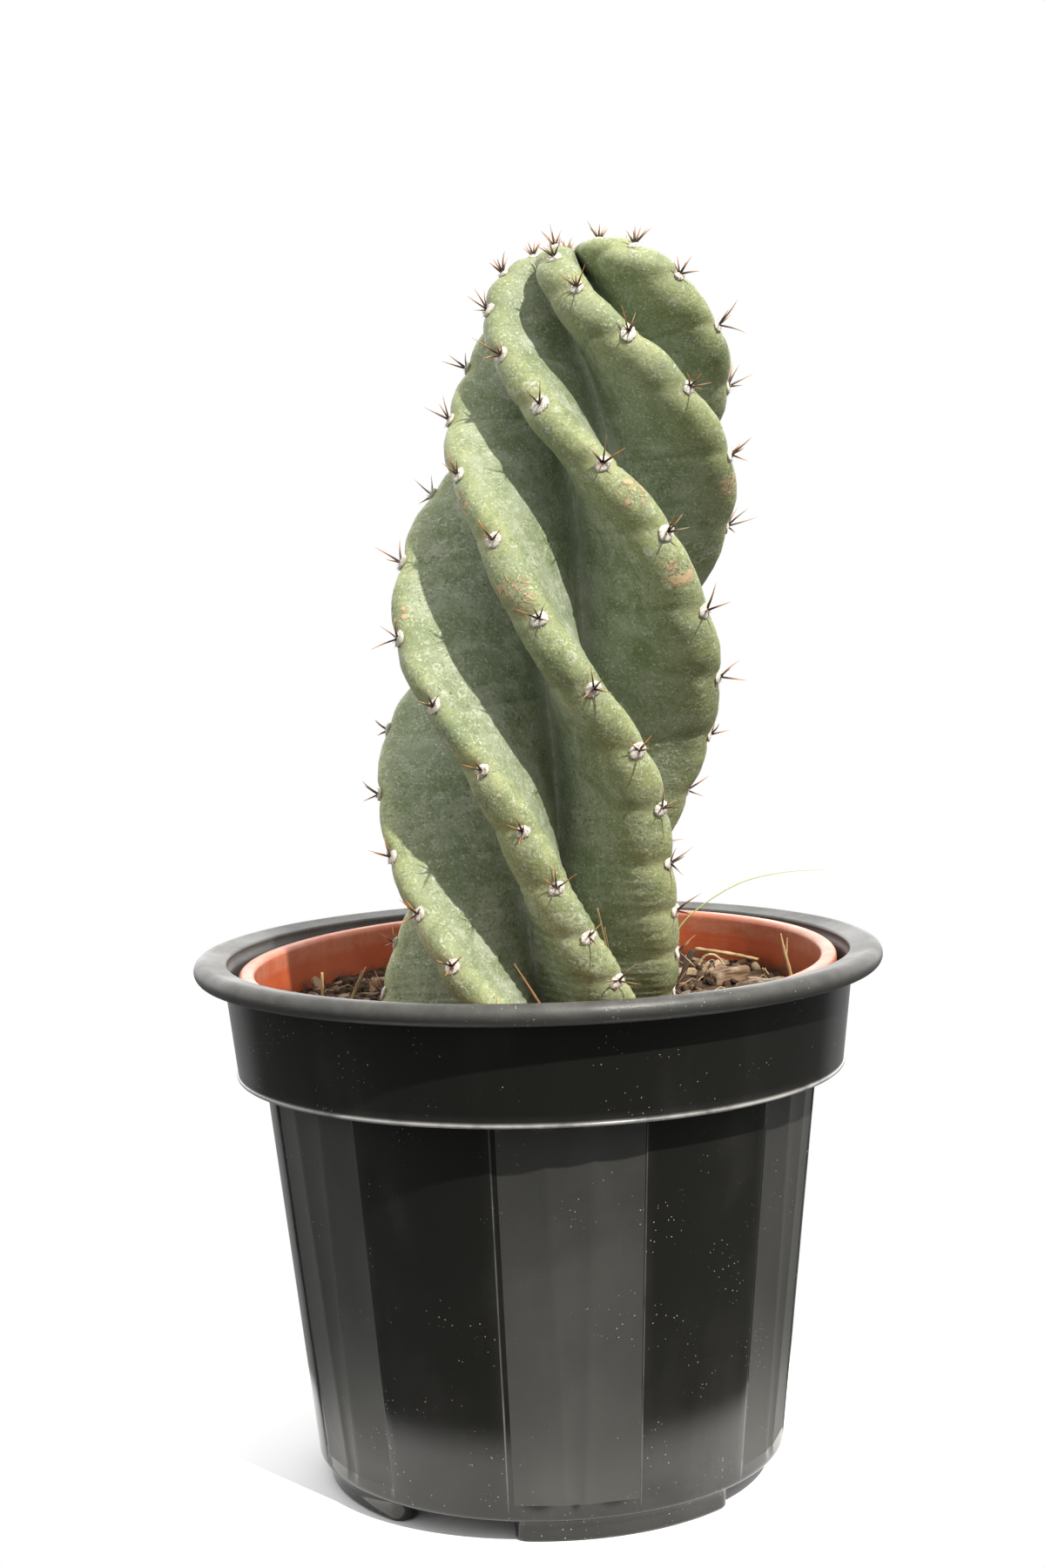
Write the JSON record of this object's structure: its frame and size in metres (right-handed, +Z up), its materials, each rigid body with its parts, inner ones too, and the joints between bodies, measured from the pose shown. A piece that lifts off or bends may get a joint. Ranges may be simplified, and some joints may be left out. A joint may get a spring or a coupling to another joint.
{
  "type": "potted cactus",
  "caption": "Stout spirally ribbed column cactus with spines, planted in a round terracotta-coloured inner pot that stands in a wider black outer pot with a rolled rim and low feet.",
  "frame": {"origin": "middle of the circle that the outer pot's feet stand on, at the ground", "axes": "+Z up along the pot; -Y is the front that the picture shows, +X its right side"},
  "size_m": [0.2796, 0.28, 0.497],
  "materials": {
    "black_plastic": "black moulded plastic, satin, dusty, with fluted matt panels between plain ones",
    "terracotta_plastic": "terracotta-coloured moulded plastic, satin, dusty",
    "soil_mix": "loose dry potting mix with bark, rough",
    "cactus_skin": "living skin with a waxy blue-green bloom, paler yellow-green on the crests",
    "bark": "dry split bark and twig, rough",
    "dark_stone": "dull dark grit",
    "straw": "dry pale straw and root",
    "grass": "thin yellow-green blade"
  },
  "bodies": {
    "root": {"bark_chip_01": "bark", "bark_chip_02": "bark", "bark_chip_03": "bark", "bark_chip_04": "bark", "bark_chip_05": "bark", "bark_chip_06": "bark", "bark_chip_07": "bark", "bark_chip_08": "bark", "bark_chip_09": "bark", "bark_chip_10": "bark", "bark_chip_11": "bark", "bark_chip_12": "bark", "bark_chip_13": "bark", "bark_chip_14": "bark", "bark_chip_15": "bark", "bark_chip_16": "bark", "cactus_stem": "cactus_skin", "grass_blade": "grass", "inner_pot": "terracotta_plastic", "outer_pot": "black_plastic", "pebble": "dark_stone", "root_curl": "straw", "soil": "soil_mix", "straw_front": "straw", "straw_in_valley": "straw", "straw_left_short": "straw", "straw_left_split": "straw", "straw_lying": "straw", "straw_right_forked": "straw", "twig_right": "bark"}
  },
  "joints": []
}
